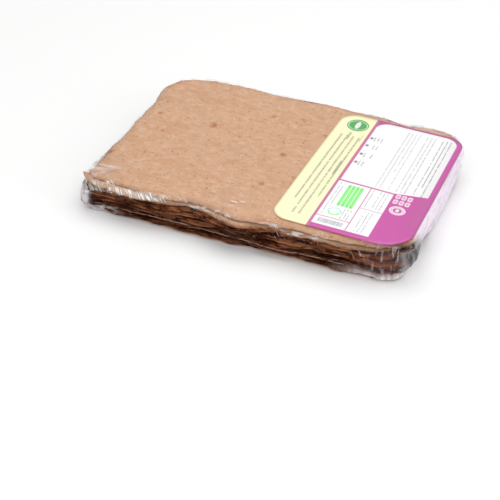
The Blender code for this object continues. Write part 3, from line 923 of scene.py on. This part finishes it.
def rim_form(look, node, rim, seed):
    """A rim's form: its thickness, middle's height, reach outwards, move aside and lift."""
    top, second = float(node == TOP_SHEET), float(node == SECOND_SHEET)
    upper = top + second
    pinch = ramp(rim[:, 1], *PINCH_Y) * ramp(rim[:, 0], *PINCH_X)
    back = ramp(rim[:, 1], *BACK_Y)
    corner = nearness(rim, SHARP_CORNER, SHARP_SPREAD)
    uneven, leaning, rise, tearing, swaying, ragged = (waves(rim, seed, kinds) for kinds in RIM_WAVES)

    lip = look.lip_thickness * (1 + uneven)
    lean = np.clip(MEAN_LEAN + leaning, -1, 1)
    lean = lean - (1 + lean) * pinch * upper
    lean = lean + (BACK_LEAN - lean) * back
    calm = 1 - CALM * np.maximum(pinch * upper, back)
    height = look.wave_height * rise * calm * (1.0 if upper else LOWER_WAVES)
    middle = lean * (HALF_SHEET - lip / 2) + height
    middle = middle - look.droop * (1 - back) * rim[:, 2] / PACK_TOP - SECOND_DROOP * pinch * second
    middle = middle + SHARP_LIFT.get(node, 0.0) * corner + BACK_TEARS * back * abs(ragged)

    sway = look.sway_depth * (TOP_SWAY if top else 1.0) * (swaying + MEAN_SWAY)
    reach = look.tear_depth * (tearing + MEAN_TEAR) + sway
    reach = np.clip(reach, -LEAST_REACH * (1 - BACK_HOLD * back), MOST_REACH) * (1 - PINCH_HOLD * pinch)
    reach = reach + (SECOND_REACH * second - TOP_DRAW * top) * pinch
    aside = np.outer(corner, SHARP_REACH.get(node, (0.0, 0.0, 0.0)))
    return lip, middle, reach, aside, SECOND_LIFT * pinch * second


def sheet_rings(look, node, seed):
    """Rings over a sheet, from its upper face's middle, around its wavy lip, to its lower face."""
    tree = solid_tree(node)
    rim = refined(rim_line(node), look.rim_steps)
    out = outward(rim)
    if node in TUCKED_SHEETS:
        rim = rim - out * (TUCK_REACH * nearness(rim, TUCK_PLACE, TUCK_SPREAD))[:, None]
    lip, middle, reach, aside, lift = rim_form(look, node, rim, seed)
    flats = [laid(tree, rim * share, HALF_SHEET) for share in FLAT_SHARES]
    crest = laid(tree, rim - out * look.slope_depth, HALF_SHEET)
    slopes = []
    for depth, down in SLOPE_STEPS:
        moved = (out * reach[:, None] + aside) * down**SLOPE_POWER
        slopes.append((rim + (crest - rim) * depth + moved + np.outer(lift, UP), down))

    def face(side):
        """Rings of the upper or lower face, from the sheet's middle out to its lip."""
        rings = [ring + UP * side * HALF_SHEET for ring in flats]
        for ring, down in slopes:
            thin = LIP_SHARE if down == 1.0 else 1.0
            height = side * HALF_SHEET * (1 - down) + (middle + side * thin * lip / 2) * down
            rings.append(ring + np.outer(height, UP))
        return rings

    edges = [0.0] * len(FLAT_SHARES) + [down for _, down in SLOPE_STEPS]
    nose = slopes[-1][0] + out * LIP_ROUNDING + np.outer(middle, UP)
    return [*face(1), nose, *reversed(face(-1))], [*edges, 1.0, *reversed(edges)]


class AddBread(bpy.types.Operator):
    """Add the seven craggy sheets of bread"""

    bl_idname = "crispbread.add_bread"
    bl_label = "Add Bread Sheets"

    def execute(self, context):
        look = context.scene.bread_settings
        material = bread_material(look)
        for number, node in enumerate(SHEETS):
            rings, edges = sheet_rings(look, node, 31.7 * number + 3.7)
            count = len(rings[0])
            skin = ringed_skin(f"{node}_bread", rings)
            close_ring(skin, rings, 0)
            close_ring(skin, rings, -1)
            face_outwards()
            set_attribute(skin, "edge", np.repeat(edges, count))
            # 0 on the upper face, 1 on the lower face, and half at the nose between them; painted shade
            # darkens these lower faces
            lower_face = [min(max(ring - len(rings) // 2 + 1, 0) / 2, 1) for ring in range(len(rings))]
            lowest = node == SHEETS[0]
            set_attribute(skin, "under", np.repeat(lower_face, count) * (not lowest))
            set_attribute(skin, "bottom", np.repeat([0, 0, *lower_face[:-2]], count) * lowest, 1.0 * lowest)
            dress(skin, material, node)
        return {"FINISHED"}


ARC_STEPS = 14
SIDE_STEPS = 10
CARD_SHARES = (0.97, 0.8, 0.55, 0.28)


def card_outline():
    """The top card's outline on the bread, with its rounded corners."""
    corners = []
    for number, (x, y, inward_x, inward_y, radius) in enumerate(CARD_CORNERS):
        centre = Vector((x, y)) + radius * Vector((inward_x, inward_y))
        angles = [math.pi * (1 + number / 2 + step / (2 * ARC_STEPS)) for step in range(ARC_STEPS + 1)]
        corners.append([centre + radius * Vector((math.cos(angle), math.sin(angle))) for angle in angles])
    outline = []
    for arc, following in zip(corners, corners[1:] + corners[:1]):
        outline.extend(arc)
        outline.extend(arc[-1].lerp(following[0], step / SIDE_STEPS) for step in range(1, SIDE_STEPS))
    turn = Matrix.Rotation(CARD_TURN, 2)
    return [turn @ point * MM for point in outline]


class AddBackCard(bpy.types.Operator):
    """Add the printed card that lies on the top sheet"""

    bl_idname = "crispbread.add_back_card"
    bl_label = "Add Top Card"

    def execute(self, context):
        tree = solid_tree("back_card")
        outline = card_outline()
        middle = sum(outline, Vector((0.0, 0.0))) / len(outline)
        rings = []
        for share in (1.0, *CARD_SHARES):
            ring = []
            for point in outline:
                place = middle.lerp(point, share)
                below = middle.lerp(point, min(share, CARD_SHARES[0]))
                ring.append((place.x, place.y, face_height(tree, below.x, below.y)))
            rings.append(ring)
        skin = ringed_skin("back_card_print", rings)
        close_ring(skin, rings, -1)
        face_outwards()
        thicken(skin, CARD_THICKNESS)
        dress(skin, back_card_material(context.scene.card_settings), "back_card")
        return {"FINISHED"}


class AddFrontCard(bpy.types.Operator):
    """Print the card on the underside and its flap"""

    bl_idname = "crispbread.add_front_card"
    bl_label = "Print Lower Card"

    def execute(self, context):
        card = frame["nodes"]["front_card"]
        card.material_slots[0].material = front_card_material(context.scene.card_settings)
        return {"FINISHED"}


# Rings up the film's side as shares of its height there, with close ones at the weld seam
SIDE_LEVELS = 22
SEAM_OFFSETS = (-0.03, -0.012, 0.0, 0.012, 0.03)
SEAM_WIDTH = 0.01
TOP_SHARES = (0.994, 0.985, 0.97, 0.94, 0.88, 0.72, 0.5, 0.25)
TOP_RISE = 12
BROW_SHARE = 0.985
BROW_DROP = 0.0011
FOOT_HEIGHT = 0.0007
UNDER_SHARES = (0.5, 0.985)
VENT = Vector((0.07, -0.072, 0.0))
VENT_RADIUS = 0.003
LEVEL = np.array((1.0, 1.0, 0.0))
FAR = 0.5
# The film keeps the solid's form at its gathered corner and its right end, and hugs the bread elsewhere
EAR_PLACE = (-0.137, -0.101)
EAR_SPREAD = 0.012
EAR_STRENGTH = 1.4
LOOSE_START = 0.112
LOOSE_END = 0.13
MOST_DRAW = 0.006
# Slanting pleats, from random waves that change with the level
PLEAT_LENGTH = 0.007
PLEAT_SHARPNESS = 4
PLEAT_CHANGE = 3
PLEAT_SLANT = (0.6, 0.6, 0.0)


def contents_tree():
    """Everything inside the film as one tree for casting rays."""
    places, faces = [], []
    sheets = [bpy.data.objects[f"{node}_bread"] for node in SHEETS]
    for thing in (*sheets, frame["nodes"]["front_card"]):
        first = len(places)
        places.extend(vertex.co for vertex in thing.data.vertices)
        faces.extend([first + index for index in face.vertices] for face in thing.data.polygons)
    return BVHTree.FromPolygons(places, faces)


def side_reach(tree, ray, level):
    """How far from the middle a level ray from outside meets a tree, and 0 where it misses."""
    start = Vector(ray * FAR) + Vector((0.0, 0.0, level))
    met = tree.ray_cast(start, -Vector(ray), FAR)[0]
    return met.xy.length if met else 0.0


def side_reaches(tree, rays, heights):
    return np.array([[side_reach(tree, ray, level) for ray, level in zip(rays, row)] for row in heights])


def stretched(reaches, shares):
    """The reaches of film that is stretched straight over the hollows of each column."""
    taut = reaches.copy()
    for low in range(len(shares)):
        for high in range(low + 2, len(shares)):
            for level in range(low + 1, high):
                part = (shares[level] - shares[low]) / (shares[high] - shares[low])
                taut[level] = np.maximum(taut[level], reaches[low] * (1 - part) + reaches[high] * part)
    return taut


def film_reaches(look, tree, guide, rays, shares, heights):
    """How far the film stands out, for each level of the side and each ray."""
    solid = side_reaches(tree, rays, heights)
    inside = np.maximum(side_reaches(contents_tree(), rays, heights), solid - MOST_DRAW)
    inside = np.maximum(inside, (np.roll(inside, 1, axis=1) + np.roll(inside, -1, axis=1)) / 2)
    hugging = np.minimum(solid, stretched(inside, shares) + look.clearance)
    hugging = np.maximum(hugging, inside + look.clearance)
    solid = np.maximum(solid, hugging)
    ear = np.minimum(EAR_STRENGTH * nearness(guide, EAR_PLACE, EAR_SPREAD), 1)
    loose = ramp(guide[:, 0], LOOSE_START, LOOSE_END - LOOSE_START)
    return hugging + (solid - hugging) * np.maximum(ear, loose)


def film_rings(look):
    """Rings over the film, from the vent below up the pleated sides to the middle of the top."""
    tree = solid_tree("film_wrap")
    guide = refined(rim_line(TOP_SHEET), look.rim_steps) * LEVEL
    rays = guide / np.linalg.norm(guide, axis=1)[:, None]
    shares = sorted({*np.linspace(0, 1, SIDE_LEVELS), *(look.seam_level + step for step in SEAM_OFFSETS)})
    widest = [ray * side_reach(tree, ray, PACK_TOP / 2) for ray in rays]
    brow = np.array([face_height(tree, *(place * BROW_SHARE)[:2]) for place in widest])
    heights = FOOT_HEIGHT + np.outer(shares, brow - BROW_DROP - FOOT_HEIGHT)

    sides = []
    for share, height, reach in zip(shares, heights, film_reaches(look, tree, guide, rays, shares, heights)):
        slant = rays * reach[:, None] + np.outer(height, PLEAT_SLANT)
        pleats = np.clip(1 - PLEAT_SHARPNESS * abs(wobble(slant, PLEAT_LENGTH, share * PLEAT_CHANGE)), 0, 1)
        stand = look.pleat_depth * pleats * math.sin(math.pi * share) ** 0.5
        stand = stand + look.seam_reach * max(0.0, 1 - abs(share - look.seam_level) / SEAM_WIDTH)
        sides.append(rays * (reach + stand)[:, None] + np.outer(height, UP))

    vent = np.array(VENT)
    under = [(vent * (1 - share) + sides[0] * share) * LEVEL for share in UNDER_SHARES]
    away = under[-1] - vent
    hole = vent + VENT_RADIUS * away / np.linalg.norm(away, axis=1)[:, None]
    top = [laid(tree, sides[-1] * share) for share in TOP_SHARES]
    below = [hole, *under]
    levels = [0.0] * len(below) + shares + [1.0] * len(top)
    flatness = [0.0] * len(below + sides) + [min(1.0, (1 - share) * TOP_RISE) for share in TOP_SHARES]
    return [*below, *sides, *top], levels, flatness


class AddFilm(bpy.types.Operator):
    """Add the clear pleated film around the pack"""

    bl_idname = "crispbread.add_film"
    bl_label = "Add Film"

    def execute(self, context):
        look = context.scene.film_settings
        rings, levels, flatness = film_rings(look)
        count = len(rings[0])
        skin = ringed_skin("film_wrap_film", rings)
        close_ring(skin, rings, -1)
        set_attribute(skin, "level", np.repeat(levels, count), 1.0)
        set_attribute(skin, "top", np.repeat(flatness, count), 1.0)
        face_outwards()
        outer = np.ones(len(skin.data.vertices))
        thicken(skin, look.thickness)
        set_attribute(skin, "outer", outer)
        dress(skin, film_material(look), "film_wrap")
        return {"FINISHED"}


def area_light(name, place, target, size, power):
    bpy.ops.object.light_add(type="AREA", location=place)
    lamp = bpy.context.object
    lamp.name = name
    lamp.rotation_euler = (Vector(target) - Vector(place)).to_track_quat("-Z", "Y").to_euler()
    lamp.data.shape = "RECTANGLE"
    lamp.data.size, lamp.data.size_y = size
    lamp.data.energy = power


# Name, place, target, width and height, and power of each light
LIGHTS = (
    ("key_light", (0.15, 0.55, 1.9), (0, 0, 0), (2.6, 2.0), 28.5),
    ("front_light", (0.25, -1.5, 1.35), (0, 0, 0), (1.8, 0.9), 13.0),
    ("right_light", (1.9, -0.2, 0.9), (0.1, 0, 0), (1.0, 1.0), 3.5),
)
FLOOR_PLACE = (0, 0, -0.0002)
ROOM_COLOUR = (1.0, 0.99, 0.98, 1.0)
ROOM_STRENGTH = 0.38


class AddStage(bpy.types.Operator):
    """Add the floor, the lights and the camera"""

    bl_idname = "crispbread.add_stage"
    bl_label = "Add Stage"

    def execute(self, context):
        look = context.scene.stage_settings
        bpy.ops.object.select_all(action="DESELECT")
        bpy.ops.mesh.primitive_plane_add(size=look.floor_size, location=FLOOR_PLACE)
        floor = bpy.context.object
        floor.name = "floor"
        floor.data.materials.append(floor_material(look))
        floor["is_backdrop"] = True

        for light in LIGHTS:
            area_light(*light)

        world = bpy.data.worlds.new("pale_room")
        world.use_nodes = True
        background = world.node_tree.nodes["Background"].inputs
        background["Color"].default_value = ROOM_COLOUR
        background["Strength"].default_value = ROOM_STRENGTH
        context.scene.world = world

        bpy.ops.object.camera_add(location=look.camera_place)
        camera = bpy.context.object
        turn = Matrix.Rotation(look.azimuth, 3, "Z") @ Matrix.Rotation(math.pi / 2 - look.elevation, 3, "X")
        camera.rotation_euler = (turn @ Matrix.Rotation(look.roll, 3, "Z")).to_euler()
        camera.data.lens = look.lens
        camera.data.sensor_width = 36.0
        context.scene.camera = camera
        context.scene.view_settings.view_transform = "Standard"
        return {"FINISHED"}


class CrispbreadPanel(bpy.types.Panel):
    """Settings and build steps of the pack"""

    bl_idname = "VIEW3D_PT_crispbread"
    bl_label = "Oat Crispbread"
    bl_space_type = "VIEW_3D"
    bl_region_type = "UI"
    bl_category = "Crispbread"

    def draw(self, context):
        for settings, group, operators in STEPS:
            box = self.layout.box()
            for name in group.__annotations__:
                box.prop(getattr(context.scene, settings), name, text=name.replace("_", " ").capitalize())
            for operator in operators:
                box.operator(operator.bl_idname)


# Name and class of each group of settings, and the operators that use it
STEPS = (
    ("bread_settings", BreadSettings, (AddBread,)),
    ("card_settings", CardSettings, (AddBackCard, AddFrontCard)),
    ("film_settings", FilmSettings, (AddFilm,)),
    ("stage_settings", StageSettings, (AddStage,)),
)
CLASSES = [*(item for _, group, operators in STEPS for item in (group, *operators)), CrispbreadPanel]


def register():
    for item in CLASSES:
        bpy.utils.register_class(item)
    for name, group, _ in STEPS:
        setattr(bpy.types.Scene, name, PointerProperty(type=group))


def unregister():
    for name, _, _ in STEPS:
        delattr(bpy.types.Scene, name)
    for item in reversed(CLASSES):
        bpy.utils.unregister_class(item)


def main():
    register()
    bpy.ops.crispbread.add_bread()
    bpy.ops.crispbread.add_back_card()
    bpy.ops.crispbread.add_front_card()
    bpy.ops.crispbread.add_film()
    bpy.ops.crispbread.add_stage()
    boxes = {"cad": CAD_BOX, "visual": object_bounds()}
    {name: [list(corner) for corner in box] for name, box in boxes.items()}


if __name__ == "__main__":
    main()
